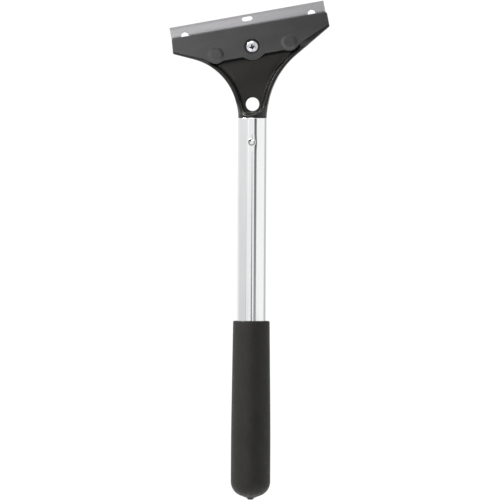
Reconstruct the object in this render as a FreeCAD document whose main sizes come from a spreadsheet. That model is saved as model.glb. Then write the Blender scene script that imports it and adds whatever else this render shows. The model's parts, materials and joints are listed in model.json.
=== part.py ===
"""Long-handled algae scraper: a cast head clamps a reversible 4 inch blade under a pressed
steel plate with one screw, and its spigot carries a chromed tube with a soft moulded grip.

The origin is the centre of the hanging hole, on the handle's axis. +Z runs up the handle
towards the blade and the clamp plate faces -Y. The head is skewed: its blade is turned about
Y, so that its right end (+X) is the higher one, and leans towards the front.
"""
import FreeCAD, Part
import math
import os

import Sketcher
from FreeCAD import Placement, Rotation, Vector

# Driving dimensions in millimetres and degrees.
DIMENSIONS = {
    # how the head sits on the handle
    "skew_angle": 10.3,
    "lean_angle": 15.0,
    "seat_height": 37.97,
    # blade
    "blade_length": 101.6,
    "blade_width": 14.3,
    "blade_thickness": 0.6,
    "blade_reach": 21.15,
    "bevel_width": 1.6,
    "edge_thickness": 0.06,
    "blade_hole_diameter": 5.0,
    "blade_hole_spacing": 83.6,
    "slot_length": 7.0,
    "slot_width": 2.9,
    "slot_inset": 3.05,
    # clearance between flat faces that are clamped together
    "clamp_gap": 0.03,
    # clamp plate
    "plate_thickness": 1.4,
    "plate_half_length": 51.2,
    "plate_top": 14.0,
    "plate_end_low": 5.4,
    "plate_wing_run": 31.6,
    "plate_wing_low": -3.1,
    "plate_low": -6.2,
    "plate_corner_round": 0.8,
    "plate_hollow_round": 2.5,
    "plate_edge_round": 0.3,
    "lug_run": 24.2,
    "lug_height": -1.4,
    "lug_lobe_radius": 6.1,
    "screw_lobe_radius": 9.2,
    "lug_radius": 5.0,
    "lug_crown_radius": 3.7,
    "lug_rise": 0.9,
    "lug_side_wall": 0.9,
    "lug_crown_wall": 0.7,
    "lug_crown_round": 0.9,
    # screw, washer and nut: No. 8 with 32 threads to the inch
    "screw_radius": 2.083,
    "screw_length": 9.6,
    "screw_tip_chamfer": 0.5,
    "screw_head_radius": 3.75,
    "screw_head_side": 1.0,
    "screw_head_rise": 2.5,
    "screw_dome_radius": 5.45,
    "cross_span": 4.3,
    "cross_arm": 1.05,
    "cross_depth": 1.7,
    "cross_floor_span": 1.5,
    "cross_floor_arm": 0.58,
    "cross_lead": 0.1,
    "washer_radius": 4.5,
    "washer_thickness": 1.0,
    "washer_round": 0.2,
    "washer_recess": 0.4,
    "washer_recess_radius": 4.85,
    "clearance_radius": 2.3,
    "nut_width": 8.73,
    "nut_thickness": 3.2,
    "nut_corner": 0.5,
    "nut_sink": 0.2,
    "thread_clearance": 0.05,
    # head casting
    "wing_half_length": 51.7,
    "wing_corner_rise": 3.45,
    "left_end_slant": 4.5,
    "left_sweep_radius": 38.3,
    "left_sweep_height": -8.3,
    "right_sweep_radius": 54.5,
    "right_sweep_height": -9.3,
    "neck_radius": 9.4,
    "rim_height": -9.1,
    "flange_width": 2.4,
    "flange_depth": 6.2,
    "collar_top": -6.4,
    "recess_low": -5.7,
    "recess_corner_radius": 5.2,
    "recess_half_length": 46.0,
    "recess_corner_rise": 3.25,
    "recess_top": 8.5,
    "web_thickness": 3.2,
    "bend_start": 8.0,
    "bend_radius": 60.0,
    "bed_depth": 3.2,
    "bed_low": -5.0,
    "bed_lead": 1.2,
    "bed_blend": 3.0,
    "bed_slope_start": 4.5,
    "bed_top": 12.9,
    "bed_tip_thickness": 1.5,
    "flange_back": 6.2,
    "waist_height": -1.6,
    "waist_radius": 5.4,
    "boss_radius": 7.6,
    "boss_back": 6.6,
    "key_radius": 2.8,
    "key_rise": 0.75,
    "shoulder_height": -7.0,
    "shoulder_radius": 12.0,
    "hanging_hole_radius": 4.4,
    # blanks that are trimmed later, and how far they run past the finished shape
    "blank_half": 90.0,
    "trim_spare": 5.0,
    # handle
    "tube_radius": 9.525,
    "tube_wall": 1.25,
    "tube_length": 240.0,
    "spigot_length": 36.0,
    "spigot_clearance": 0.06,
    "spigot_chamfer": 1.0,
    "dimple_height": -25.0,
    "dimple_depth": 1.1,
    "dimple_mouth_radius": 2.15,
    "dimple_floor_radius": 1.0,
    "dimple_skin": 1.0,
    # grip
    "grip_top": -141.15,
    "grip_low": -256.1,
    "grip_radius": 12.87,
    "grip_rim_radius": 11.95,
    "grip_swell_height": -214.0,
    "grip_side_radius": 2813.0,
    "grip_corner_radius": 9.3,
    "grip_rim_round": 0.9,
    "grip_clearance": 0.05,
    "grip_floor_gap": 0.3,
    "nib_radius": 1.6,
    "nib_height": 1.9,
    "nib_root": 1.0,
    "nib_tip_round": 0.7,
}

# How close an edge lies to the place that it is looked for.
NEAR = 0.01

doc = FreeCAD.newDocument("algae_scraper")
sheet = doc.addObject("Spreadsheet::Sheet", "dims")
for row, (name, size) in enumerate(DIMENSIONS.items(), start=1):
    sheet.set(f"A{row}", name)
    sheet.set(f"B{row}", str(size))
    sheet.setAlias(f"B{row}", name)
doc.recompute()


def value(expression):
    """The number that an expression on the sheet gives."""
    return float(sheet.evalExpression(expression))


def new_body(name):
    """A body whose label names its file."""
    body = doc.addObject("PartDesign::Body", name)
    body.Label = name
    return body


def new_sketch(body, name, role, offset=Placement()):
    """A sketch on one of the body's own origin planes, moved by offset within that plane."""
    sketch = body.newObject("Sketcher::SketchObject", name)
    plane = next(item for item in body.Origin.OriginFeatures if item.Role == role)
    sketch.AttachmentSupport = [(plane, "")]
    sketch.MapMode = "FlatFace"
    sketch.AttachmentOffset = offset
    return sketch


def bind(sketch, kind, expression, *where):
    """Add a dimension to the sketch and tie it to the sheet."""
    number = sketch.addConstraint(Sketcher.Constraint(kind, *where, value(expression)))
    sketch.setExpression(f"Constraints[{number}]", expression)


def fix_point(sketch, curve, end, x, y):
    """Tie one end of a curve to a place on the sheet."""
    bind(sketch, "DistanceX", x, curve, end)
    bind(sketch, "DistanceY", y, curve, end)


def arc_between(start, finish, radius, turn):
    """The shorter arc from start to finish; turn is 1 anticlockwise and -1 clockwise."""
    chord = finish - start
    sideways = Vector(-chord.y, chord.x, 0).normalize()
    rise = math.sqrt(radius ** 2 - (chord.Length / 2) ** 2)
    centre = start + chord / 2 + sideways * rise * turn
    first, last = (start, finish) if turn > 0 else (finish, start)
    angles = [math.atan2(spot.y - centre.y, spot.x - centre.x) for spot in (first, last)]
    return Part.ArcOfCircle(Part.Circle(centre, Vector(0, 0, 1), radius), *angles)


def outline(sketch, corners):
    """A closed outline. A corner is (x, y), or (x, y, radius, turn) where an arc leaves it."""
    spots = [Vector(value(corner[0]), value(corner[1]), 0) for corner in corners]
    runs = []
    for index, corner in enumerate(corners):
        here, there = spots[index], spots[(index + 1) % len(spots)]
        if len(corner) == 2:
            number = sketch.addGeometry(Part.LineSegment(here, there), False)
            runs.append((number, 1, 2))
            continue
        radius, turn = corner[2:]
        number = sketch.addGeometry(arc_between(here, there, value(radius), turn), False)
        runs.append((number, 1, 2) if turn > 0 else (number, 2, 1))
        bind(sketch, "Radius", radius, number)
    for index, corner in enumerate(corners):
        number, start, finish = runs[index]
        before = runs[index - 1]
        sketch.addConstraint(Sketcher.Constraint("Coincident", before[0], before[2], number, start))
        fix_point(sketch, number, start, corner[0], corner[1])


def circle(sketch, x, y, radius):
    """A circle whose centre and radius follow the sheet."""
    centre = Vector(value(x), value(y), 0)
    number = sketch.addGeometry(Part.Circle(centre, Vector(0, 0, 1), value(radius)), False)
    bind(sketch, "Radius", radius, number)
    fix_point(sketch, number, 3, x, y)


def feature(body, kind, name, profile, bound, **settings):
    """A sketch-based feature whose sizes in bound follow the sheet."""
    item = body.newObject(f"PartDesign::{kind}", name)
    item.Profile = profile
    for key, setting in settings.items():
        setattr(item, key, setting)
    for key, expression in bound.items():
        item.setExpression(key, expression)
    doc.recompute()
    return item


def cut(body, kind, name, profile, bound, **settings):
    """A feature that removes material, with a test that it did."""
    before = body.Shape.Volume
    item = feature(body, kind, name, profile, bound, **settings)
    if body.Shape.Volume > before - 1e-3:
        raise RuntimeError(f"{name} cuts nothing")
    return item


def revolve(body, kind, name, profile, axis="V_Axis"):
    """A full turn of the profile about its sketch's own axis."""
    return feature(body, kind, name, profile, {}, ReferenceAxis=(profile, [axis]), Angle=360)


def along(edge, axis):
    """Whether a straight edge runs along the axis x, y or z."""
    return abs(getattr(edge.tangentAt(edge.FirstParameter), axis)) > 1 - NEAR


def level(edge, height):
    """Whether a whole edge lies at one height."""
    return abs(edge.BoundBox.ZMin - height) < NEAR and abs(edge.BoundBox.ZMax - height) < NEAR


def round_edges(body, name, radius, wanted):
    """Fillet the edges of the body's tip that the wanted test picks."""
    tip = body.Tip
    edges = [f"Edge{index}" for index, edge in enumerate(tip.Shape.Edges, start=1) if wanted(edge)]
    if not edges:
        raise RuntimeError(f"{name} finds no edge")
    item = body.newObject("PartDesign::Fillet", name)
    item.Base = (tip, edges)
    item.setExpression("Radius", radius)
    doc.recompute()
    return item


# The middle of the web runs up the handle's axis, bends towards the front and carries on
# straight, bed_depth behind the face that the blade lies on.
BEND_LOW = "(dims.bend_start - dims.seat_height * cos(dims.skew_angle))"
BEND_HIGH = f"({BEND_LOW} + dims.bend_radius * sin(dims.lean_angle))"
SEAT_FORWARD = ("(dims.bed_depth * cos(dims.lean_angle)"
                " + dims.bend_radius * (1 - cos(dims.lean_angle))"
                f" + tan(dims.lean_angle) * (dims.bed_depth * sin(dims.lean_angle) - {BEND_HIGH}))")

# The head's own frame: x along the blade, y towards the cutting edge, z out of the clamp plate.
# Its origin is on the screw's axis, in the face that the blade lies on.
HEAD_TURN = Rotation(Vector(0, 1, 0), -value("dims.skew_angle")) * Rotation(
    Vector(1, 0, 0), 90 + value("dims.lean_angle"))
HEAD = Placement(Vector(0, -value(SEAT_FORWARD), value("dims.seat_height")), HEAD_TURN)

PLATE_BACK = "(dims.blade_thickness + 2 * dims.clamp_gap)"
PLATE_FRONT = f"({PLATE_BACK} + dims.plate_thickness)"
WASHER_BACK = f"({PLATE_FRONT} - dims.washer_recess + dims.clamp_gap)"
SCREW_SEAT = f"({WASHER_BACK} + dims.washer_thickness + dims.clamp_gap)"


def left_slant(rise):
    """How far the head's left end has come in at a rise above its lower corner."""
    return f"({rise}) * tan(dims.left_end_slant)"


def lifted(expression):
    """An offset of a sketch along its own normal."""
    return Placement(Vector(0, 0, value(expression)), Rotation())


def make_blade():
    """A reversible blade: both long edges are ground on both faces."""
    body = new_body("scraper_blade")
    low = "dims.blade_reach - dims.blade_width"
    back = "dims.clamp_gap"
    front = "dims.clamp_gap + dims.blade_thickness"
    middle = "dims.clamp_gap + dims.blade_thickness / 2"
    section = new_sketch(body, "blade_section", "YZ_Plane")
    outline(section, [
        (f"{low}", f"{middle} - dims.edge_thickness / 2"),
        (f"{low} + dims.bevel_width", back),
        ("dims.blade_reach - dims.bevel_width", back),
        ("dims.blade_reach", f"{middle} - dims.edge_thickness / 2"),
        ("dims.blade_reach", f"{middle} + dims.edge_thickness / 2"),
        ("dims.blade_reach - dims.bevel_width", front),
        (f"{low} + dims.bevel_width", front),
        (f"{low}", f"{middle} + dims.edge_thickness / 2"),
    ])
    feature(body, "Pad", "blade_strip", section, {"Length": "dims.blade_length"}, Midplane=True)

    holes = new_sketch(body, "blade_holes", "XY_Plane")
    for side in (-1, 1):
        circle(holes, f"{side} * dims.blade_hole_spacing / 2",
               "dims.blade_reach - dims.blade_width / 2", "dims.blade_hole_diameter / 2")
    for height in ("dims.blade_reach - dims.slot_inset",
                   "dims.blade_reach - dims.blade_width + dims.slot_inset"):
        run = "(dims.slot_length - dims.slot_width) / 2"
        high = f"{height} + dims.slot_width / 2"
        bottom = f"{height} - dims.slot_width / 2"
        end = "dims.slot_width / 2 + 0.0001"
        outline(holes, [
            (f"-{run}", bottom),
            (run, bottom, end, 1),
            (run, high),
            (f"-{run}", high, end, 1),
        ])
    cut(body, "Pocket", "blade_openings", holes, {}, Type="ThroughAll", Midplane=True)
    body.Placement = HEAD
    return body


def make_clamp_plate():
    """Pressed plate: a hollow lug each side keys it to the head, and the screw goes through it."""
    body = new_body("clamp_plate")
    step = "sqrt(dims.screw_lobe_radius ^ 2 - dims.plate_low ^ 2)"
    lug_step = "sqrt(dims.lug_lobe_radius ^ 2 - (dims.plate_low - dims.lug_height) ^ 2)"
    face = new_sketch(body, "plate_outline", "XY_Plane", lifted(PLATE_BACK))
    outline(face, [
        (f"-dims.plate_half_length + {left_slant('dims.plate_top - dims.plate_end_low')}",
         "dims.plate_top"),
        ("-dims.plate_half_length", "dims.plate_end_low"),
        ("-dims.plate_wing_run", "dims.plate_wing_low"),
        (f"-dims.lug_run - {lug_step}", "dims.plate_low", "dims.lug_lobe_radius", 1),
        (f"-dims.lug_run + {lug_step}", "dims.plate_low"),
        (f"-{step}", "dims.plate_low", "dims.screw_lobe_radius", 1),
        (step, "dims.plate_low"),
        (f"dims.lug_run - {lug_step}", "dims.plate_low", "dims.lug_lobe_radius", 1),
        (f"dims.lug_run + {lug_step}", "dims.plate_low"),
        ("dims.plate_wing_run", "dims.plate_wing_low"),
        ("dims.plate_half_length", "dims.plate_end_low"),
        ("dims.plate_half_length", "dims.plate_top"),
    ])
    feature(body, "Pad", "plate_sheet", face, {"Length": "dims.plate_thickness"})

    wing = value("dims.plate_wing_run") + NEAR
    low = value("dims.plate_low")
    round_edges(body, "plate_corners", "dims.plate_corner_round",
                lambda edge: along(edge, "z") and abs(edge.CenterOfMass.x) > wing)
    round_edges(body, "plate_hollows", "dims.plate_hollow_round",
                lambda edge: along(edge, "z") and abs(edge.CenterOfMass.y - low) < NEAR)

    for side, word in ((-1, "left"), (1, "right")):
        spot = Placement(Vector(side * value("dims.lug_run"), 0, -value("dims.lug_height")), Rotation())
        dome = new_sketch(body, f"{word}_lug_section", "XZ_Plane", spot)
        crown = f"{PLATE_FRONT} + dims.lug_rise"
        outline(dome, [
            ("0", f"{PLATE_FRONT} - dims.plate_thickness / 2"),
            ("dims.lug_radius", f"{PLATE_FRONT} - dims.plate_thickness / 2"),
            ("dims.lug_radius", PLATE_FRONT),
            ("dims.lug_crown_radius", crown),
            ("0", crown),
        ])
        revolve(body, "Revolution", f"{word}_lug", dome)
        hollow = new_sketch(body, f"{word}_lug_hollow_section", "XZ_Plane", spot)
        mouth = f"{PLATE_BACK} - dims.plate_thickness"
        ceiling = f"{PLATE_BACK} + dims.lug_rise"
        outline(hollow, [
            ("0", mouth),
            ("dims.lug_radius - dims.lug_side_wall", mouth),
            ("dims.lug_radius - dims.lug_side_wall", PLATE_BACK),
            ("dims.lug_crown_radius - dims.lug_crown_wall", ceiling),
            ("0", ceiling),
        ])
        revolve(body, "Groove", f"{word}_lug_hollow", hollow)

    recess = new_sketch(body, "washer_recess_outline", "XY_Plane", lifted(PLATE_FRONT))
    circle(recess, "0", "0", "dims.washer_recess_radius")
    cut(body, "Pocket", "washer_recess", recess, {"Length": "dims.washer_recess"})
    hole = new_sketch(body, "plate_screw_hole_outline", "XY_Plane", lifted(PLATE_FRONT))
    circle(hole, "0", "0", "dims.clearance_radius")
    cut(body, "Pocket", "plate_screw_hole", hole, {}, Type="ThroughAll", Midplane=True)

    front = value(PLATE_FRONT)
    crown_top = value(f"{PLATE_FRONT} + dims.lug_rise")
    end_low = value("dims.plate_end_low")
    round_edges(body, "lug_crowns", "dims.lug_crown_round", lambda edge: level(edge, crown_top))
    round_edges(body, "plate_edge_rounding", "dims.plate_edge_round",
                lambda edge: level(edge, front)
                and (edge.CenterOfMass.y > end_low or abs(edge.CenterOfMass.x) > wing))
    body.Placement = HEAD
    return body


def make_screw():
    """Pan head machine screw with a cross recess."""
    body = new_body("clamp_screw")
    top = f"{SCREW_SEAT} + dims.screw_head_rise"
    side = f"{SCREW_SEAT} + dims.screw_head_side"
    tip = f"{SCREW_SEAT} - dims.screw_length"
    section = new_sketch(body, "screw_section", "XZ_Plane")
    outline(section, [
        ("0", tip),
        ("dims.screw_radius - dims.screw_tip_chamfer", tip),
        ("dims.screw_radius", f"{tip} + dims.screw_tip_chamfer"),
        ("dims.screw_radius", SCREW_SEAT),
        ("dims.screw_head_radius", SCREW_SEAT),
        ("dims.screw_head_radius", side, "dims.screw_dome_radius", 1),
        ("0", top),
    ])
    revolve(body, "Revolution", "screw_turned", section)

    def cross(name, height, span, arm):
        """A cross of two equal bars."""
        sketch = new_sketch(body, name, "XY_Plane", lifted(height))
        far, near = f"({span}) / 2", f"({arm}) / 2"
        outline(sketch, [
            (far, f"-{near}"), (far, near), (near, near),
            (near, far), (f"-{near}", far), (f"-{near}", near),
            (f"-{far}", near), (f"-{far}", f"-{near}"), (f"-{near}", f"-{near}"),
            (f"-{near}", f"-{far}"), (near, f"-{far}"), (near, f"-{near}"),
        ])
        return sketch

    mouth = cross("cross_mouth", f"{top} + dims.cross_lead", "dims.cross_span", "dims.cross_arm")
    floor = cross("cross_floor", f"{top} - dims.cross_depth",
                  "dims.cross_floor_span", "dims.cross_floor_arm")
    doc.recompute()
    cut(body, "SubtractiveLoft", "cross_recess", mouth, {}, Sections=[floor])
    body.Placement = HEAD
    return body


def make_washer():
    """Plain washer under the screw's head."""
    body = new_body("screw_washer")
    ring = new_sketch(body, "washer_outline", "XY_Plane", lifted(WASHER_BACK))
    circle(ring, "0", "0", "dims.washer_radius")
    circle(ring, "0", "0", "dims.clearance_radius")
    feature(body, "Pad", "washer_ring", ring, {"Length": "dims.washer_thickness"})
    top = value(f"{WASHER_BACK} + dims.washer_thickness")
    outer = value("dims.washer_radius")
    round_edges(body, "washer_rounding", "dims.washer_round",
                lambda edge: level(edge, top) and abs(edge.BoundBox.XMax - outer) < NEAR)
    body.Placement = HEAD
    return body


def make_nut():
    """Square nut, held from turning by a square pocket in the back of the head."""
    body = new_body("clamp_nut")
    half, corner = "dims.nut_width / 2", "(dims.nut_width / 2 - dims.nut_corner)"
    block = new_sketch(body, "nut_outline", "XY_Plane", lifted("dims.nut_sink - dims.boss_back"))
    outline(block, [
        (half, f"-{corner}"), (half, corner), (corner, half), (f"-{corner}", half),
        (f"-{half}", corner), (f"-{half}", f"-{corner}"), (f"-{corner}", f"-{half}"),
        (corner, f"-{half}"),
    ])
    circle(block, "0", "0", "dims.screw_radius + dims.thread_clearance")
    feature(body, "Pad", "nut_block", block, {"Length": "dims.nut_thickness"})
    body.Placement = HEAD
    return body


DIMPLE = Placement(Vector(0, value("dims.dimple_height"), 0), Rotation())


def punch_section(sketch, growth, start):
    """Half section of the punched dimple, grown all round; start is how deep it begins."""
    floor = f"(dims.dimple_depth + {growth})"
    floor_radius = f"(dims.dimple_floor_radius + ({growth}) / 2)"
    mouth_radius = f"(dims.dimple_mouth_radius + {growth})"
    start_radius = f"{mouth_radius} - ({start}) * ({mouth_radius} - {floor_radius}) / {floor}"
    outline(sketch, [
        (f"{start} - dims.tube_radius", "0"),
        (f"{floor} - dims.tube_radius", "0"),
        (f"{floor} - dims.tube_radius", floor_radius),
        (f"{start} - dims.tube_radius", start_radius),
    ])


def make_tube():
    """Drawn tube, punched into the spigot so that it can't turn or pull off."""
    body = new_body("handle_tube")
    top = "(dims.rim_height - dims.clamp_gap)"
    bottom = f"({top} - dims.tube_length)"
    bore = "(dims.tube_radius - dims.tube_wall)"
    wall = new_sketch(body, "tube_section", "XZ_Plane")
    outline(wall, [
        (bore, bottom), ("dims.tube_radius", bottom), ("dims.tube_radius", top), (bore, top),
    ])
    revolve(body, "Revolution", "tube_wall_turned", wall)

    bulge = new_sketch(body, "dimple_bulge_section", "YZ_Plane", DIMPLE)
    punch_section(bulge, "dims.dimple_skin", "dims.tube_wall / 2")
    revolve(body, "Revolution", "dimple_bulge", bulge, "H_Axis")
    dent = new_sketch(body, "dimple_dent_section", "YZ_Plane", DIMPLE)
    punch_section(dent, "0", "-dims.tube_wall")
    revolve(body, "Groove", "dimple_dent", dent, "H_Axis")
    return body


def make_grip():
    """Closed moulded grip, pushed over the tube, with the nib of its moulding at the end."""
    body = new_body("hand_grip")
    bore = "(dims.tube_radius + dims.grip_clearance)"
    floor = "(dims.rim_height - dims.tube_length - dims.grip_floor_gap)"
    nib_tip = "(dims.grip_low - dims.nib_height)"
    section = new_sketch(body, "grip_section", "XZ_Plane")
    outline(section, [
        ("0", floor),
        ("0", nib_tip),
        ("dims.nib_radius - dims.nib_tip_round", nib_tip, "dims.nib_tip_round", 1),
        ("dims.nib_radius", f"{nib_tip} + dims.nib_tip_round"),
        ("dims.nib_radius", "dims.grip_low - dims.nib_root", "dims.nib_root", -1),
        ("dims.nib_radius + dims.nib_root", "dims.grip_low"),
        ("dims.grip_radius - dims.grip_corner_radius", "dims.grip_low", "dims.grip_corner_radius", 1),
        ("dims.grip_radius", "dims.grip_low + dims.grip_corner_radius"),
        ("dims.grip_radius", "dims.grip_swell_height", "dims.grip_side_radius", 1),
        ("dims.grip_rim_radius", "dims.grip_top - dims.grip_rim_round", "dims.grip_rim_round", 1),
        ("dims.grip_rim_radius - dims.grip_rim_round", "dims.grip_top"),
        (bore, "dims.grip_top"),
        (bore, floor),
    ])
    revolve(body, "Revolution", "grip_moulding", section)
    return body


def in_front_view(along, up):
    """Front view place of a point given along the blade and square to it, from the screw."""
    return (f"({along}) * cos(dims.skew_angle) - ({up}) * sin(dims.skew_angle)",
            f"dims.seat_height + ({along}) * sin(dims.skew_angle) + ({up}) * cos(dims.skew_angle)")


def in_side_view(up, out):
    """Place, in the section square to the blade, of a point of the head's own frame."""
    return (f"-{SEAT_FORWARD} - ({up}) * sin(dims.lean_angle) - ({out}) * cos(dims.lean_angle)",
            f"({up}) * cos(dims.lean_angle) - ({out}) * sin(dims.lean_angle)")


def tangent_point(centre, radius, corner, side):
    """Where the line from corner touches the circle; side picks one of the two."""
    dx, dy = f"({corner[0]} - {centre[0]})", f"({corner[1]} - {centre[1]})"
    square = f"({dx} ^ 2 + {dy} ^ 2)"
    along = f"({radius}) ^ 2 / {square}"
    across = f"{side} * ({radius}) * sqrt({square} - ({radius}) ^ 2) / {square}"
    return (f"{centre[0]} + {along} * {dx} - {across} * {dy}",
            f"{centre[1]} + {along} * {dy} + {across} * {dx}")


LEFT_SWEEP = ("-(dims.neck_radius + dims.left_sweep_radius)", "dims.left_sweep_height")
RIGHT_SWEEP = ("(dims.neck_radius + dims.right_sweep_radius)", "dims.right_sweep_height")


def head_outline(sketch):
    """Front view of the casting: skewed wings, two hollow sweeps and the neck."""
    left_corner = in_front_view("-dims.wing_half_length", "dims.wing_corner_rise")
    right_corner = in_front_view("dims.wing_half_length", "dims.wing_corner_rise")
    left_touch = tangent_point(LEFT_SWEEP, "dims.left_sweep_radius", left_corner, -1)
    right_touch = tangent_point(RIGHT_SWEEP, "dims.right_sweep_radius", right_corner, 1)
    top = "dims.bed_top + dims.trim_spare"
    outline(sketch, [
        in_front_view(f"-dims.wing_half_length + {left_slant(f'{top} - dims.wing_corner_rise')}", top),
        left_corner,
        (*left_touch, "dims.left_sweep_radius", -1),
        ("-dims.neck_radius", LEFT_SWEEP[1]),
        ("-dims.neck_radius", "dims.rim_height"),
        ("dims.neck_radius", "dims.rim_height"),
        ("dims.neck_radius", RIGHT_SWEEP[1], "dims.right_sweep_radius", -1),
        right_touch,
        right_corner,
        in_front_view("dims.wing_half_length", top),
    ])


def recess_outline(sketch):
    """Inner edge of the flange that runs round the casting."""
    left_corner = in_front_view("-dims.recess_half_length", "dims.recess_corner_rise")
    right_corner = in_front_view("dims.recess_half_length", "dims.recess_corner_rise")
    left_radius = "(dims.left_sweep_radius + dims.flange_width)"
    right_radius = "(dims.right_sweep_radius + dims.flange_width)"
    left_touch = tangent_point(LEFT_SWEEP, left_radius, left_corner, -1)
    right_touch = tangent_point(RIGHT_SWEEP, right_radius, right_corner, 1)
    left_low = f"{LEFT_SWEEP[0]} + sqrt({left_radius} ^ 2 - (dims.recess_low - {LEFT_SWEEP[1]}) ^ 2)"
    right_low = f"{RIGHT_SWEEP[0]} - sqrt({right_radius} ^ 2 - (dims.recess_low - {RIGHT_SWEEP[1]}) ^ 2)"
    outline(sketch, [
        in_front_view("-dims.recess_half_length", "dims.recess_top"),
        left_corner,
        (*left_touch, left_radius, -1),
        (left_low, "dims.recess_low"),
        (right_low, "dims.recess_low", right_radius, -1),
        right_touch,
        right_corner,
        in_front_view("dims.recess_half_length", "dims.recess_top"),
    ])


# The ledge that the blade's lower edge stands on, and the height to which it comes forward.
LEDGE_EDGE = "(dims.blade_reach - dims.blade_width - 2 * dims.clamp_gap)"
LEDGE_FACE = "dims.blade_thickness"
BOTTOM = "(dims.rim_height - dims.seat_height - dims.trim_spare)"


def web_section(sketch):
    """Section of the web and of the bed that it thickens into under the blade."""
    half = "dims.web_thickness / 2"
    inner, outer = f"(dims.bend_radius - {half})", f"(dims.bend_radius + {half})"
    outline(sketch, [
        (f"-{half}", BOTTOM),
        (f"-{half}", BEND_LOW, inner, 1),
        (f"{inner} * cos(dims.lean_angle) - dims.bend_radius",
         f"{BEND_LOW} + {inner} * sin(dims.lean_angle)"),
        in_side_view("dims.bed_low - dims.bed_lead", f"{half} - dims.bed_depth"),
        in_side_view("dims.bed_low", LEDGE_FACE),
        in_side_view(LEDGE_EDGE, LEDGE_FACE),
        in_side_view(LEDGE_EDGE, "0"),
        in_side_view("dims.bed_top", "0"),
        in_side_view("dims.bed_top", "-dims.bed_tip_thickness"),
        in_side_view("dims.bed_slope_start", f"-{half} - dims.bed_depth"),
        (f"{outer} * cos(dims.lean_angle) - dims.bend_radius",
         f"{BEND_LOW} + {outer} * sin(dims.lean_angle)", outer, -1),
        (half, BEND_LOW),
        (half, BOTTOM),
    ])


def blank(sketch):
    """A square well outside the casting, so that what lies inside it and outside an outline goes."""
    half = "dims.blank_half"
    outline(sketch, [(f"-{half}", f"-{half}"), (half, f"-{half}"), (half, half), (f"-{half}", half)])


def envelope_section(sketch):
    """The casting's side view, apart from the thinner web: round neck, waist, flange and bed."""
    collar = "(dims.collar_top - dims.seat_height)"
    waist = "(dims.waist_height - dims.seat_height)"
    outline(sketch, [
        ("-dims.neck_radius", BOTTOM),
        ("-dims.neck_radius", collar, "dims.waist_radius", 1),
        ("-dims.flange_depth", waist),
        in_side_view("dims.bed_low - dims.bed_blend", LEDGE_FACE),
        in_side_view(LEDGE_EDGE, LEDGE_FACE),
        in_side_view(LEDGE_EDGE, "0"),
        in_side_view("dims.bed_top", "0"),
        in_side_view("dims.bed_top", "-dims.bed_tip_thickness"),
        in_side_view("dims.bed_slope_start - dims.bed_blend", "-dims.flange_back"),
        in_side_view("dims.bed_low - dims.bed_blend", "-dims.flange_back"),
        ("dims.flange_depth", waist, "dims.waist_radius", 1),
        ("dims.neck_radius", collar),
        ("dims.neck_radius", BOTTOM),
    ])


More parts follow.
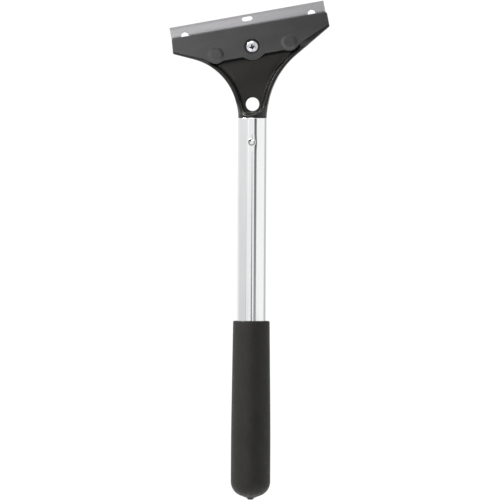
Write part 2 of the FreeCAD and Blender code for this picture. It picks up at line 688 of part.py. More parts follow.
def make_head():
    """Cast head: a web with a flange round it, the blade's bed, the neck and the spigot."""
    body = new_body("head_casting")
    across = Placement(Vector(0, value("dims.seat_height"), 0),
                       Rotation(Vector(1, 0, 0), -value("dims.skew_angle")))

    frame = new_sketch(body, "flange_outline", "XZ_Plane")
    head_outline(frame)
    recess_outline(frame)
    feature(body, "Pad", "flange", frame, {"Length": "1.5 * dims.blank_half"}, Midplane=True)
    low = value("dims.recess_low")
    round_edges(body, "recess_corners", "dims.recess_corner_radius",
                lambda edge: abs(edge.CenterOfMass.z - low) < NEAR and along(edge, "y"))

    side = new_sketch(body, "side_outline", "YZ_Plane", across)
    blank(side)
    envelope_section(side)
    cut(body, "Pocket", "side_trim", side, {}, Type="ThroughAll", Midplane=True)

    web = new_sketch(body, "web_outline", "YZ_Plane", across)
    web_section(web)
    feature(body, "Pad", "web", web, {"Length": "1.5 * dims.blank_half"}, Midplane=True)

    front = new_sketch(body, "front_outline", "XZ_Plane")
    blank(front)
    head_outline(front)
    cut(body, "Pocket", "front_trim", front, {}, Type="ThroughAll", Midplane=True)

    # The round neck flares into the flat head.
    flare_top = "(dims.shoulder_height + dims.shoulder_radius)"
    below_rim = "(dims.rim_height - dims.trim_spare)"
    shoulder = new_sketch(body, "shoulder_section", "XZ_Plane")
    outline(shoulder, [
        ("dims.neck_radius", below_rim),
        ("dims.blank_half / 2", below_rim),
        ("dims.blank_half / 2", flare_top),
        ("dims.neck_radius + dims.shoulder_radius", flare_top, "dims.shoulder_radius", 1),
        ("dims.neck_radius", "dims.shoulder_height"),
    ])
    revolve(body, "Groove", "shoulder", shoulder)

    spigot_radius = "(dims.tube_radius - dims.tube_wall - dims.spigot_clearance)"
    spigot_end = "(dims.rim_height - dims.spigot_length)"
    spigot = new_sketch(body, "spigot_section", "XZ_Plane")
    outline(spigot, [
        ("0", spigot_end),
        (f"{spigot_radius} - dims.spigot_chamfer", spigot_end),
        (spigot_radius, f"{spigot_end} + dims.spigot_chamfer"),
        (spigot_radius, "dims.rim_height + dims.spigot_chamfer"),
        ("0", "dims.rim_height + dims.spigot_chamfer"),
    ])
    revolve(body, "Revolution", "spigot", spigot)
    seat = new_sketch(body, "dimple_seat_section", "YZ_Plane", DIMPLE)
    punch_section(seat, "(dims.dimple_skin + dims.spigot_clearance)", "-dims.tube_wall")
    revolve(body, "Groove", "dimple_seat", seat, "H_Axis")

    boss = new_sketch(body, "boss_outline", "XY_Plane", HEAD * lifted("-dims.boss_back"))
    circle(boss, "0", "0", "dims.boss_radius")
    feature(body, "Pad", "nut_boss", boss, {"Length": "dims.boss_back - dims.bed_depth"})
    for side, word in ((-1, "left"), (1, "right")):
        key = new_sketch(body, f"{word}_key_outline", "XY_Plane", HEAD)
        circle(key, f"{side} * dims.lug_run", "dims.lug_height", "dims.key_radius")
        feature(body, "Pad", f"{word}_key", key, {"Length": "dims.blade_thickness + dims.key_rise"})
    pocket = new_sketch(body, "nut_pocket_outline", "XY_Plane", HEAD * lifted("-dims.boss_back"))
    wide = "(dims.nut_width / 2 + dims.thread_clearance)"
    outline(pocket, [(wide, f"-{wide}"), (wide, wide), (f"-{wide}", wide), (f"-{wide}", f"-{wide}")])
    cut(body, "Pocket", "nut_pocket", pocket,
        {"Length": "dims.nut_thickness + dims.nut_sink + dims.clamp_gap"}, Reversed=True)
    screw_hole = new_sketch(body, "head_screw_hole_outline", "XY_Plane", HEAD)
    circle(screw_hole, "0", "0", "dims.clearance_radius")
    cut(body, "Pocket", "head_screw_hole", screw_hole, {}, Type="ThroughAll", Midplane=True)
    hang = new_sketch(body, "hanging_hole_outline", "XZ_Plane")
    circle(hang, "0", "0", "dims.hanging_hole_radius")
    cut(body, "Pocket", "hanging_hole", hang, {}, Type="ThroughAll", Midplane=True)
    return body


def write_parts(bodies):
    """Stop on any failed object or bad shape, then write one STEP file for each sub-part."""
    doc.recompute()
    failed = [item.Name for item in doc.Objects if {"Invalid", "Error"} & set(item.State)]
    if failed:
        raise RuntimeError(f"failed objects: {failed}")
    for body in bodies:
        if body.Shape.isNull() or not body.Shape.isValid() or len(body.Shape.Solids) != 1:
            raise RuntimeError(f"{body.Label} is not one valid solid")
    os.makedirs("parts", exist_ok=True)
    for body in bodies:
        body.Shape.exportStep(os.path.join("parts", f"{body.Label}.step"))
        print(f"{body.Label}: {body.Shape.Volume:.0f} mm3")


write_parts([
    make_head(),
    make_tube(),
    make_grip(),
    make_blade(),
    make_clamp_plate(),
    make_washer(),
    make_screw(),
    make_nut(),
])
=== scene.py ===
"""Looks of the long-handled algae scraper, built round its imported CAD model. Lengths are metres.

The row frame has +Z up the handle, -Y out of the clamp plate's side and +X to the right. HEAD is
the head's own frame: x along the blade, y towards the cutting edge, z out of the clamp plate.
"""

import json
import math

import bmesh
import bpy
from mathutils import Matrix, Vector

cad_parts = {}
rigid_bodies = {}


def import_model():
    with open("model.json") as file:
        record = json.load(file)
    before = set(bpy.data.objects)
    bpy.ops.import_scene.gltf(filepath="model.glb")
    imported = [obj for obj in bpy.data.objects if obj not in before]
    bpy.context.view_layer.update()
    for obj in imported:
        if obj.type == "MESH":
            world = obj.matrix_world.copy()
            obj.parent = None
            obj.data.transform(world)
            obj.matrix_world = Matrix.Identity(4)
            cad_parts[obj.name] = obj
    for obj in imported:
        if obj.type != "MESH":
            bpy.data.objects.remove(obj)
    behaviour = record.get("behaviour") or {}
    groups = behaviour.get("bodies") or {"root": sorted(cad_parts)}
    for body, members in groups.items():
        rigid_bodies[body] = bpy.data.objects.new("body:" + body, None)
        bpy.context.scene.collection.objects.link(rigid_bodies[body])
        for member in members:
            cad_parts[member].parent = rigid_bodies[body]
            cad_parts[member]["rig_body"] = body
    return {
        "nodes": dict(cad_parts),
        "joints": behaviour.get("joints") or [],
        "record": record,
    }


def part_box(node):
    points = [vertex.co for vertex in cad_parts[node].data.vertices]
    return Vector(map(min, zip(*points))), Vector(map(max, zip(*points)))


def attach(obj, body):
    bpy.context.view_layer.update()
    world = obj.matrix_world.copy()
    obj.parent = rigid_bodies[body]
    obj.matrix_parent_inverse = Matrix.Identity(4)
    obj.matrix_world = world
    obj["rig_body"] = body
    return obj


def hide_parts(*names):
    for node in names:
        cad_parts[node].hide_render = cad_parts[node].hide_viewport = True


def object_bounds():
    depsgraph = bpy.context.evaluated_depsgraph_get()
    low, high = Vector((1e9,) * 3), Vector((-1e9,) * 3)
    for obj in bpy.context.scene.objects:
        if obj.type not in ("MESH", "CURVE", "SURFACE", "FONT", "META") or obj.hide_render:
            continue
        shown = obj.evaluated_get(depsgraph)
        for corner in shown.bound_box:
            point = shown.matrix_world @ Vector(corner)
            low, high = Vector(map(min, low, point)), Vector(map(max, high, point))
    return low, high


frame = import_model()
for name in ("Cube", "Light", "Camera"):
    if name in bpy.data.objects:
        bpy.data.objects.remove(bpy.data.objects[name])
CAD_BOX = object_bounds()

MM = 0.001
JOINTS = {joint["name"]: joint for joint in frame["joints"]}
# Turn of the screw for each metre that the plate lifts.
CLAMP_RATIO = frame["record"]["behaviour"]["couplings"][0]["ratio"]


def head_frame():
    """The head's own frame, from the screw's axis and the way that the blade slides."""
    out = Vector(JOINTS["screw_turn"]["axis"]).normalized()
    along = Vector(JOINTS["blade_slide"]["axis"]).normalized()
    turn = Matrix((along, out.cross(along), out)).transposed().to_4x4()
    return Matrix.Translation(JOINTS["screw_turn"]["pos_m"]) @ turn


HEAD = head_frame()

# The dimple punched in the tube's front wall, in the row frame.
DIMPLE = Vector((0, -9.4, -25)) * MM
# The arc that each hollow sweep beside the neck follows: its centre's x and z, and its radius.
LEFT_SWEEP = (Vector((-47.7, -8.3)) * MM, 38.3 * MM)
RIGHT_SWEEP = (Vector((63.9, -9.3)) * MM, 54.5 * MM)
# The plate's front face and the middle of its right lug, in the head's frame.
PLATE_FRONT = 2.06 * MM
LUG = Vector((24.2, -1.4)) * MM
# The sphere that the screw head's dome is part of: its middle, up the screw's axis, and its radius.
DOME_HEIGHT = -0.23 * MM
DOME_RADIUS = 5.45 * MM


def link(name, mesh):
    made = bpy.data.objects.new(name, mesh)
    bpy.context.scene.collection.objects.link(made)
    return made


# ---- material nodes ------------------------------------------------------------------------


def node(tree, kind, inputs=None, **settings):
    """A node with its settings; an input is a value, or the socket that feeds it."""
    made = tree.nodes.new(kind)
    for key, setting in settings.items():
        setattr(made, key, setting)
    for key, source in (inputs or {}).items():
        if isinstance(source, bpy.types.NodeSocket):
            tree.links.new(source, made.inputs[key])
        else:
            made.inputs[key].default_value = source
    return made


def row_place(tree):
    """Place on the surface, in the row frame."""
    return node(tree, "ShaderNodeTexCoord").outputs["Object"]


def head_place(tree):
    """Place on the surface, in the head's own frame."""
    back = HEAD.inverted()
    return node(tree, "ShaderNodeMapping", {
        "Vector": row_place(tree),
        "Location": back.to_translation(),
        "Rotation": back.to_euler(),
    }).outputs["Vector"]


def distance_from(tree, place, spot):
    """How far the place is from a fixed spot in the same frame."""
    return node(tree, "ShaderNodeVectorMath", {0: place, 1: spot}, operation="DISTANCE").outputs["Value"]


def noise(tree, place, grain, detail=4.0):
    """Noise whose grain is given in millimetres along each axis."""
    scaled = node(tree, "ShaderNodeMapping", {
        "Vector": place,
        "Scale": [1 / (size * MM) for size in grain],
    }).outputs["Vector"]
    return node(tree, "ShaderNodeTexNoise", {
        "Vector": scaled, "Scale": 1.0, "Detail": detail, "Roughness": 0.55,
    }).outputs["Fac"]


def spread(tree, factor, low, high, start=0.3, end=0.7):
    """The factor's usual span, from start to end, stretched over low to high."""
    return node(tree, "ShaderNodeMapRange", {
        "Value": factor, "From Min": start, "From Max": end, "To Min": low, "To Max": high,
    }).outputs["Result"]


def tint(tree, factor, first, second):
    """A colour between two, by the factor; each is a colour, or the socket that gives one."""
    made = node(tree, "ShaderNodeMix", {"Factor": factor}, data_type="RGBA")
    sockets = [socket for socket in made.inputs if socket.type == "RGBA"]
    for socket, source in zip(sockets, (first, second)):
        if isinstance(source, bpy.types.NodeSocket):
            tree.links.new(source, socket)
        else:
            socket.default_value = (*source, 1)
    return next(socket for socket in made.outputs if socket.type == "RGBA")


def worn(tree, body, bare):
    """The body colour, turning to the bare one along the edges that stand out."""
    edge = node(tree, "ShaderNodeNewGeometry").outputs["Pointiness"]
    return tint(tree, spread(tree, edge, 0.0, 1.0, 0.53, 0.62), body, bare)


def bump(tree, height, depth, strength, under=None):
    """Relief of a depth in millimetres, laid over another relief if one is given."""
    inputs = {"Height": height, "Distance": depth * MM, "Strength": strength}
    if under is not None:
        inputs["Normal"] = under
    return node(tree, "ShaderNodeBump", inputs).outputs["Normal"]


def finish(name, build):
    """A material whose shader inputs are what build gives for its node tree."""
    made = bpy.data.materials.new(name)
    made.use_nodes = True
    tree = made.node_tree
    tree.nodes.clear()
    shader = node(tree, "ShaderNodeBsdfPrincipled", build(tree))
    node(tree, "ShaderNodeOutputMaterial", {"Surface": shader.outputs["BSDF"]})
    return made


def enamel(tree):
    """Gloss black enamel on a die casting: orange peel over the casting's own waviness."""
    place = row_place(tree)
    cloud = noise(tree, place, (14, 14, 14))
    peel = noise(tree, place, (1.1, 1.1, 1.1), detail=2.0)
    sand = noise(tree, place, (0.22, 0.22, 0.22), detail=3.0)
    thin, thick = (0.0035, 0.0034, 0.0032), (0.0065, 0.0062, 0.0058)
    body = tint(tree, spread(tree, cloud, 0.0, 1.0), thin, thick)
    relief = bump(tree, noise(tree, place, (6, 6, 6), detail=2.0), 0.16, 0.35)
    relief = bump(tree, peel, 0.035, 0.3, relief)
    return {
        "Base Color": worn(tree, body, (0.022, 0.022, 0.021)),
        "Roughness": spread(tree, sand, 0.24, 0.4),
        "Specular IOR Level": 0.29,
        "Specular Tint": (1.0, 0.97, 0.93, 1.0),
        "Coat Weight": 0.1,
        "Coat Roughness": 0.16,
        "Normal": bump(tree, sand, 0.012, 0.4, relief),
    }


def chrome(tree):
    """Bright chromium plate over a drawn tube, so its fine lines run along the handle.

    A dark band round the punched dimple is painted into the colour, as a painted dark reflection.
    """
    place = row_place(tree)
    # Painted dark reflection: the colour is darkened in a band round the dimple.
    away = distance_from(tree, place, DIMPLE)
    within = spread(tree, away, 0.0, 1.0, 2.5 * MM, 1.9 * MM)
    beyond = spread(tree, away, 0.0, 1.0, 1.1 * MM, 1.7 * MM)
    painted_reflection_ring = node(tree, "ShaderNodeMath", {0: within, 1: beyond}, operation="MULTIPLY").outputs["Value"]
    lines = noise(tree, place, (0.16, 0.16, 60), detail=3.0)
    haze = noise(tree, place, (7, 7, 34))
    waves = noise(tree, place, (9, 9, 70), detail=1.0)
    plating = tint(tree, haze, (0.76, 0.765, 0.775), (0.84, 0.84, 0.845))
    return {
        "Base Color": tint(tree, painted_reflection_ring, plating, (0.2, 0.2, 0.205)),
        "Metallic": 1.0,
        "Roughness": spread(tree, haze, 0.055, 0.11),
        "Normal": bump(tree, lines, 0.006, 0.25, bump(tree, waves, 0.05, 0.2)),
    }


def vinyl(tree):
    """Soft moulded vinyl: matte, with a fine pebble grain and a slightly mottled skin."""
    place = row_place(tree)
    mottle = noise(tree, place, (9, 9, 16))
    pebble = node(tree, "ShaderNodeTexVoronoi", {
        "Vector": node(tree, "ShaderNodeMapping", {
            "Vector": place, "Scale": [1 / (0.55 * MM)] * 3}).outputs["Vector"],
        "Scale": 1.0,
    }, feature="SMOOTH_F1").outputs["Distance"]
    skin = noise(tree, place, (2.4, 2.4, 5.0), detail=3.0)
    relief = bump(tree, skin, 0.06, 0.35)
    return {
        "Base Color": tint(tree, spread(tree, mottle, 0.0, 1.0),
                           (0.0052, 0.0051, 0.0046), (0.0094, 0.0092, 0.0085)),
        "Roughness": spread(tree, skin, 0.5, 0.66),
        "Specular IOR Level": 0.25,
        "Specular Tint": (1.0, 0.97, 0.92, 1.0),
        "Sheen Weight": 0.02,
        "Normal": bump(tree, pebble, 0.03, 0.45, relief),
    }


def ground_steel(tree):
    """Blade strip, brushed along its length."""
    place = head_place(tree)
    brush = noise(tree, place, (26, 0.07, 0.07), detail=5.0)
    wide = noise(tree, place, (30, 2.2, 2.2), detail=2.0)
    return {
        "Base Color": tint(tree, spread(tree, brush, 0.0, 1.0),
                           (0.31, 0.303, 0.314), (0.43, 0.422, 0.435)),
        "Metallic": 1.0,
        "Roughness": spread(tree, wide, 0.36, 0.5),
        "Anisotropic": 0.5,
        "Normal": bump(tree, brush, 0.006, 0.4),
    }


def satin_coat(tree):
    """Satin dark grey coat on the pressed plate."""
    place = head_place(tree)
    cloud = noise(tree, place, (22, 9, 9))
    grain = noise(tree, place, (0.3, 0.3, 0.3), detail=3.0)
    body = tint(tree, spread(tree, cloud, 0.0, 1.0), (0.054, 0.0535, 0.0545), (0.064, 0.0635, 0.0645))
    return {
        "Base Color": worn(tree, body, (0.16, 0.16, 0.158)),
        "Metallic": 0.8,
        "Roughness": spread(tree, grain, 0.27, 0.36),
        "Specular IOR Level": 0.5,
        "Normal": bump(tree, grain, 0.014, 0.5),
    }


def black_oxide(tree):
    """Oil-blackened washer."""
    place = head_place(tree)
    blotch = noise(tree, place, (1.6, 1.6, 1.6))
    return {
        "Base Color": tint(tree, spread(tree, blotch, 0.0, 1.0),
                           (0.007, 0.007, 0.0075), (0.018, 0.017, 0.017)),
        "Metallic": 0.4,
        "Roughness": spread(tree, blotch, 0.3, 0.5),
        "Normal": bump(tree, noise(tree, place, (0.2, 0.2, 0.2)), 0.01, 0.4),
    }


def bright_zinc(tree):
    """Bright zinc plate on the screw, with painted shade darkening it where it lies below the head's
    dome.
    """
    place = head_place(tree)
    cloud = noise(tree, place, (1.8, 1.8, 1.8))
    # Painted shade: the colour darkens inside the cross recess, below the dome's sphere.
    out = distance_from(tree, place, (0, 0, DOME_HEIGHT))
    shade_radius, clear = DOME_RADIUS - 0.9 * MM, DOME_RADIUS - 0.15 * MM
    unshaded_share = spread(tree, out, 0.0, 1.0, shade_radius, clear)
    plating = tint(tree, spread(tree, cloud, 0.0, 1.0), (0.46, 0.47, 0.5), (0.62, 0.63, 0.66))
    return {
        "Base Color": tint(tree, unshaded_share, (0.04, 0.04, 0.042), plating),
        "Metallic": 1.0,
        "Roughness": spread(tree, cloud, 0.26, 0.36),
        "Normal": bump(tree, noise(tree, place, (0.25, 0.25, 0.25)), 0.008, 0.35),
    }


def dull_zinc(tree):
    """Dull zinc plate on the nut, with faint mill lines."""
    place = head_place(tree)
    cloud = noise(tree, place, (1.4, 1.4, 1.4))
    lines = noise(tree, place, (6, 0.12, 0.12))
    return {
        "Base Color": tint(tree, spread(tree, cloud, 0.0, 1.0), (0.36, 0.37, 0.38), (0.55, 0.55, 0.54)),
        "Metallic": 1.0,
        "Roughness": spread(tree, cloud, 0.3, 0.48),
        "Normal": bump(tree, lines, 0.012, 0.4),
    }


def paper(tree):
    """Pale seamless paper for the floor."""
    place = row_place(tree)
    cloud = noise(tree, place, (160, 160, 160))
    fibre = noise(tree, place, (1.2, 1.2, 1.2))
    return {
        "Base Color": tint(tree, cloud, (0.80, 0.80, 0.795), (0.84, 0.84, 0.835)),
        "Roughness": spread(tree, fibre, 0.7, 0.85),
        "Normal": bump(tree, fibre, 0.05, 0.3),
    }


ENAMEL = finish("gloss_black_enamel", enamel)
CHROME = finish("bright_chrome", chrome)
VINYL = finish("matte_black_vinyl", vinyl)
GROUND_STEEL = finish("brushed_blade_steel", ground_steel)
SATIN_COAT = finish("satin_dark_coat", satin_coat)
BLACK_OXIDE = finish("black_oxide", black_oxide)
BRIGHT_ZINC = finish("bright_zinc", bright_zinc)
DULL_ZINC = finish("dull_zinc", dull_zinc)
PAPER = finish("pale_paper", paper)


# ---- pieces --------------------------------------------------------------------------------


def dress(piece, cad_node, material):
    """Give a new piece its material and body, in the place of a CAD node, which it hides."""
    piece.data.materials.clear()
    piece.data.materials.append(material)
    piece.data.shade_smooth()
    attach(piece, frame["nodes"][cad_node]["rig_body"])
    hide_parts(cad_node)
    return piece


def settled(piece, kind, **settings):
    """Apply one modifier to a piece."""
    modifier = piece.modifiers.new(kind.lower(), kind)
    for key, setting in settings.items():
        setattr(modifier, key, setting)
    depsgraph = bpy.context.evaluated_depsgraph_get()
    mesh = bpy.data.meshes.new_from_object(piece.evaluated_get(depsgraph))
    piece.modifiers.clear()
    piece.data = mesh


def softened(name, cad_node, voxel, passes, shape=None):
    """A copy of a CAD node with its edges rounded over, meshed evenly in the head's frame."""
    mesh = frame["nodes"][cad_node].data.copy()
    mesh.transform(HEAD.inverted())
    piece = link(name, mesh)
    settled(piece, "REMESH", mode="VOXEL", voxel_size=voxel * MM)
    if shape is not None:
        for vertex in piece.data.vertices:
            vertex.co = shape(vertex.co)
    settled(piece, "SMOOTH", factor=0.5, iterations=passes)
    piece.data.transform(HEAD)
    return piece


def rounded(corners, step):
    """A polyline through corners (x, y, radius), each turned through an arc of that radius."""
    line = [Vector(corners[0][:2])]
    for before, corner, after in zip(corners, corners[1:], corners[2:]):
        spot = Vector(corner[:2])
        back = (Vector(before[:2]) - spot).normalized()
        on = (Vector(after[:2]) - spot).normalized()
        half = back.angle(on) / 2
        centre = spot + (back + on).normalized() * corner[2] / math.sin(half)
        start = spot + back * corner[2] / math.tan(half) - centre
        sweep = start.angle_signed(spot + on * corner[2] / math.tan(half) - centre)
        count = max(2, math.ceil(abs(sweep) / step))
        for index in range(count + 1):
            line.append(centre + Matrix.Rotation(-sweep * index / count, 2) @ start)
    line.append(Vector(corners[-1][:2]))
    return line


def turned(name, profile, segments, closed):
    """A mesh turned about the handle's axis from a profile of (radius, height)."""
    shape = bmesh.new()
    spots = [shape.verts.new((spot[0], 0, spot[1])) for spot in profile]
    pairs = list(zip(spots, spots[1:]))
    if closed:
        pairs.append((spots[-1], spots[0]))
    edges = [shape.edges.new(pair) for pair in pairs]
    bmesh.ops.spin(shape, geom=spots + edges, axis=(0, 0, 1), cent=(0, 0, 0),
                   angle=math.tau, steps=segments, use_merge=True)
    bmesh.ops.remove_doubles(shape, verts=shape.verts[:], dist=1e-7)
    bmesh.ops.recalc_face_normals(shape, faces=shape.faces[:])
    mesh = bpy.data.meshes.new(name)
    shape.to_mesh(mesh)
    shape.free()
    return link(name, mesh)


def fade(distance, reach):
    """1 at the middle, falling smoothly to 0 at reach."""
    share = min(distance / reach, 1.0)
    return (1 - share * share) ** 2


def ramp(value, start, end):
    """0 up to start and 1 from end on, with a straight rise between them."""
    return min(max((value - start) / (end - start), 0.0), 1.0)


def drafted(spot):
    """Lean the wall inside the casting's flange inwards as it goes down to the web.

    Both hollow sweeps are arcs beside the neck, so the way inwards is away from their centres.
    A trough in the web also follows the plate's lower edge.
    """
    trough_height, trough_reach, trough_depth = -6.8 * MM, 3.2 * MM, 1.5 * MM
    web_middle = -3 * MM
    trough = 1 - abs(spot.y - trough_height) / trough_reach
    if trough > 0 and spot.z > web_middle:
        spot = spot - Vector((0, 0, trough_depth * trough))

    place = HEAD @ spot
    flange_front, web_front = 6.2 * MM, 1.6 * MM
    under_plate, clear_of_plate = 34 * MM, 24 * MM
    collar = -7 * MM
    down = ramp(abs(place.y), flange_front, web_front)
    if place.z < collar or down == 0:
        return spot
    down *= ramp(place.z, under_plate, clear_of_plate)

    lean, wall, reach = 1.5 * MM, 2.4 * MM, 3.2 * MM
    centre, radius = LEFT_SWEEP if place.x < 0 else RIGHT_SWEEP
    away = Vector((place.x, place.z)) - centre
    inside = away.length - radius - wall
    if not -wall < inside < reach:
        return spot
    share = 1 + inside / wall if inside < 0 else 1 - inside / reach
    move = away.normalized() * lean * share * down
    return HEAD.inverted() @ (place + Vector((move.x, 0, move.y)))


def make_casting():
    """Enamelled die casting."""
    piece = softened("cast_head", "head_casting", voxel=0.34, passes=24, shape=drafted)
    return dress(piece, "head_casting", ENAMEL)


def make_tube():
    """Chromed tube with its punched dimple, which dishes the wall a little all round."""
    low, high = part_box("handle_tube")
    radius = high.x
    wall = 1.25 * MM
    lip = 0.25 * MM
    fine_zone, fine_step, coarse_step = 7 * MM, 0.16 * MM, 1.4 * MM
    punch_depth, punch_flat, punch_reach = 0.42 * MM, 0.5 * MM, 2.3 * MM
    dish_depth, dish_reach = 0.09 * MM, 6 * MM

    heights = [low.z + lip]
    while heights[-1] < high.z - lip:
        near = abs(heights[-1] - DIMPLE.z) < fine_zone
        heights.append(min(heights[-1] + (fine_step if near else coarse_step), high.z - lip))
    profile = [(radius, height) for height in heights]
    profile += [(radius - lip, high.z), (radius - wall + lip, high.z), (radius - wall, high.z - lip)]
    profile += [(radius - wall, low.z + lip), (radius - wall + lip, low.z), (radius - lip, low.z)]
    piece = turned("drawn_tube", profile, 360, closed=True)

    for vertex in piece.data.vertices:
        spot = vertex.co
        away = spot.xy.length
        if spot.y > 0 or away < radius - wall / 2:
            continue
        round_way = radius * math.atan2(spot.x, -spot.y)
        distance = math.hypot(round_way, spot.z - DIMPLE.z)
        punch = punch_depth * fade(max(distance - punch_flat, 0), punch_reach)
        dish = dish_depth * fade(distance, dish_reach)
        spot.xy *= (away - punch - dish) / away
    return dress(piece, "handle_tube", CHROME)


def make_grip():
    """Moulded grip: rounded rim, a faint swell towards the end, and a blunt cone with its nib."""
    low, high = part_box("hand_grip")
    radius = high.x
    rim_radius = radius - 0.92 * MM
    bore_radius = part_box("handle_tube")[1].x + 0.05 * MM
    bore_end = high.z - 8 * MM
    nib_radius = 1.7 * MM
    nib_low = low.z + 0.3 * MM
    cone_radius = nib_radius + 0.6 * MM
    cone_low = low.z + 1.35 * MM
    cone_rise = 0.37 * (radius - nib_radius)
    swell_height = -214 * MM
    side_radius = 1900 * MM
    profile = rounded([
        (0, nib_low),
        (nib_radius, nib_low, 1.0 * MM),
        (cone_radius, cone_low, 1.2 * MM),
        (radius, cone_low + cone_rise, 9.7 * MM),
        (radius, swell_height, side_radius),
        (rim_radius, high.z, 0.9 * MM),
        (bore_radius, high.z, 0.3 * MM),
        (bore_radius, bore_end),
    ], step=math.radians(6))
    piece = turned("moulded_grip", profile, 144, closed=False)
    return dress(piece, "hand_grip", VINYL)


def pressed(spot):
    """Sink the fronts of the two lugs, so that their rims fade into the plate."""
    reach, kept_share = 6 * MM, 0.55
    above = spot.z - PLATE_FRONT
    if above > 0 and math.hypot(abs(spot.x) - LUG.x, spot.y - LUG.y) < reach:
        return Vector((spot.x, spot.y, PLATE_FRONT + above * kept_share))
    return spot


def make_plate():
    """Pressed clamp plate."""
    piece = softened("pressed_plate", "clamp_plate", voxel=0.22, passes=2, shape=pressed)
    return dress(piece, "clamp_plate", SATIN_COAT)


def thread(spot):
    """Cut a No. 8-32 thread's groove into the screw's shank."""
    pitch = math.tau / CLAMP_RATIO
    shank_top, core_radius, outer_radius = 2.2 * MM, 1.4 * MM, 2.5 * MM
    groove_depth, crest_share = 0.4 * MM, 1.2
    radius = spot.xy.length
    if spot.z > shank_top or not core_radius < radius < outer_radius:
        return spot
    phase = (spot.z / pitch - math.atan2(spot.y, spot.x) / math.tau) % 1
    groove = groove_depth * max(0.0, 1 - crest_share * abs(2 * phase - 1))
    share = (radius - groove) / radius
    return Vector((spot.x * share, spot.y * share, spot.z))


def make_screw():
    """Cross-recessed screw with its thread."""
    piece = softened("cross_screw", "clamp_screw", voxel=0.09, passes=2, shape=thread)
    return dress(piece, "clamp_screw", BRIGHT_ZINC)


def make_nut():
    """Square nut."""
    piece = softened("square_nut", "clamp_nut", voxel=0.12, passes=2)
    return dress(piece, "clamp_nut", DULL_ZINC)


make_casting()
make_tube()
make_grip()
make_plate()
make_screw()
make_nut()
for cad_node, material in (("scraper_blade", GROUND_STEEL), ("screw_washer", BLACK_OXIDE)):
    frame["nodes"][cad_node].material_slots[0].material = material


# ---- studio --------------------------------------------------------------------------------

CENTRE = (CAD_BOX[0] + CAD_BOX[1]) / 2
HEIGHT = CAD_BOX[1].z - CAD_BOX[0].z


def toward(azimuth, elevation=0.0):
    """Unit vector from the tool; azimuth 0 is its front and 90 its right, in degrees."""
    turn, rise = math.radians(azimuth), math.radians(elevation)
    return Vector((math.sin(turn) * math.cos(rise), -math.cos(turn) * math.cos(rise), math.sin(rise)))


def aim(thing, place, target):
    thing.location = place
    thing.rotation_euler = (place - target).to_track_quat("Z", "Y").to_euler()


def make_camera():
    """Long lens, level, a little to the right of square; the tool fills the frame's height."""
    azimuth, distance, roll, margin = 3.0, 4.0, 0.32, 0.998
    shift_right, shift_up = 0.0018, 0.0013
    lens = bpy.data.cameras.new("camera")
    lens.sensor_width = 36
    lens.lens = lens.sensor_width * distance / HEIGHT * margin
    lens.shift_x = shift_right
    lens.shift_y = shift_up
    camera = link("camera", lens)
    aim(camera, CENTRE + toward(azimuth) * distance, CENTRE)
    camera.rotation_euler.rotate_axis("Z", math.radians(roll))
    bpy.context.scene.camera = camera


def make_world():
    """White tent, a little brighter on the right than on the left."""
    world = bpy.data.worlds.new("tent")
    world.use_nodes = True
    tree = world.node_tree
    tree.nodes.clear()
    way = node(tree, "ShaderNodeTexCoord").outputs["Generated"]
    side = node(tree, "ShaderNodeSeparateXYZ", {"Vector": way}).outputs["X"]
    left, right = (0.96, 0.965, 0.97), (1.12, 1.12, 1.12)
    colour = tint(tree, spread(tree, side, 0.0, 1.0, -1.0, 1.0), left, right)
    shell = node(tree, "ShaderNodeBackground", {"Color": colour, "Strength": 1.0})
    node(tree, "ShaderNodeOutputWorld", {"Surface": shell.outputs["Background"]})
    bpy.context.scene.world = world


def sheet(name, material):
    """A flat square, 2 m each way before it is scaled."""
    shape = bmesh.new()
    bmesh.ops.create_grid(shape, x_segments=1, y_segments=1, size=1.0)
    mesh = bpy.data.meshes.new(name)
    shape.to_mesh(mesh)
    shape.free()
    mesh.materials.append(material)
    made = link(name, mesh)
    return made


def make_floor():
    """Pale floor below the tool, low enough to stay out of the level front view."""
    drop = 100 * MM
    floor = sheet("floor", PAPER)
    floor.location = (0, 0, CAD_BOX[0].z - drop)


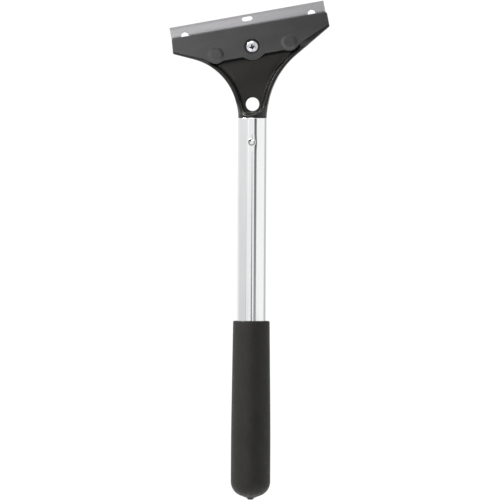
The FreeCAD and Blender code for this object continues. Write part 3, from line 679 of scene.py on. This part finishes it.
def make_light(name, azimuth, elevation, distance, height, size, radiance):
    """Soft rectangular light aimed at a height on the tool, bright as its radiance in W/m2/sr."""
    light = bpy.data.lights.new(name, "AREA")
    light.shape = "RECTANGLE"
    light.size, light.size_y = size
    light.energy = radiance * math.pi * light.size * light.size_y
    target = Vector((0, 0, height))
    aim(link(name, light), target + toward(azimuth, elevation) * distance, target)


def make_flag(name, azimuth, width, bottom, top, tone):
    """Upright strip in front of the tent, which the bright metal mirrors as a line.

    Its width, bottom and top are metres. Its tone runs from the first, at its bottom, to the
    second, at its top; the tent's own tone is about 1.
    """
    distance = 0.6
    made = bpy.data.materials.new(name)
    made.use_nodes = True
    tree = made.node_tree
    tree.nodes.clear()
    up = node(tree, "ShaderNodeSeparateXYZ", {
        "Vector": node(tree, "ShaderNodeTexCoord").outputs["Generated"]}).outputs["Y"]
    colour = tint(tree, up, (tone[0],) * 3, (tone[1],) * 3)
    glow = node(tree, "ShaderNodeEmission", {"Color": colour, "Strength": 1.0})
    node(tree, "ShaderNodeOutputMaterial", {"Surface": glow.outputs["Emission"]})

    flag = sheet(name, made)
    flag.scale = (width / 2, (top - bottom) / 2, 1)
    target = Vector((0, 0, (top + bottom) / 2))
    aim(flag, target + toward(azimuth) * distance, target)
    flag.visible_camera = False
    flag.visible_diffuse = False
    flag.visible_shadow = False


make_camera()
make_world()
make_floor()
make_light("side_light", -76.0, 32.0, 0.55, 0.04, (0.24, 0.24), 34.0)
make_light("top_light", -12.0, 64.0, 0.6, 0.02, (0.3, 0.3), 7.0)
make_flag("low_card_left", -20.0, 0.36, -0.35, -0.19, (3.6, 4.0))
make_flag("low_flag_right", 29.5, 0.66, -0.35, -0.16, (0.02, 0.02))
make_flag("card_left", -80.0, 0.9, -0.17, 0.10, (0.78, 1.0))
make_flag("band_left", -26.5, 0.09, -0.17, 0.10, (0.9, 1.35))
make_flag("flag_right", 27.5, 0.2, -0.17, 0.10, (0.45, 0.0))
make_flag("flag_front", 1.5, 0.085, -0.17, -0.02, (0.0, 0.75))
make_flag("flag_left", -42.0, 0.04, -0.17, -0.05, (0.55, 0.8))
make_flag("flag_back", 130.0, 0.35, -0.3, 0.2, (0.6, 0.7))
bpy.context.scene.view_settings.view_transform = "Standard"
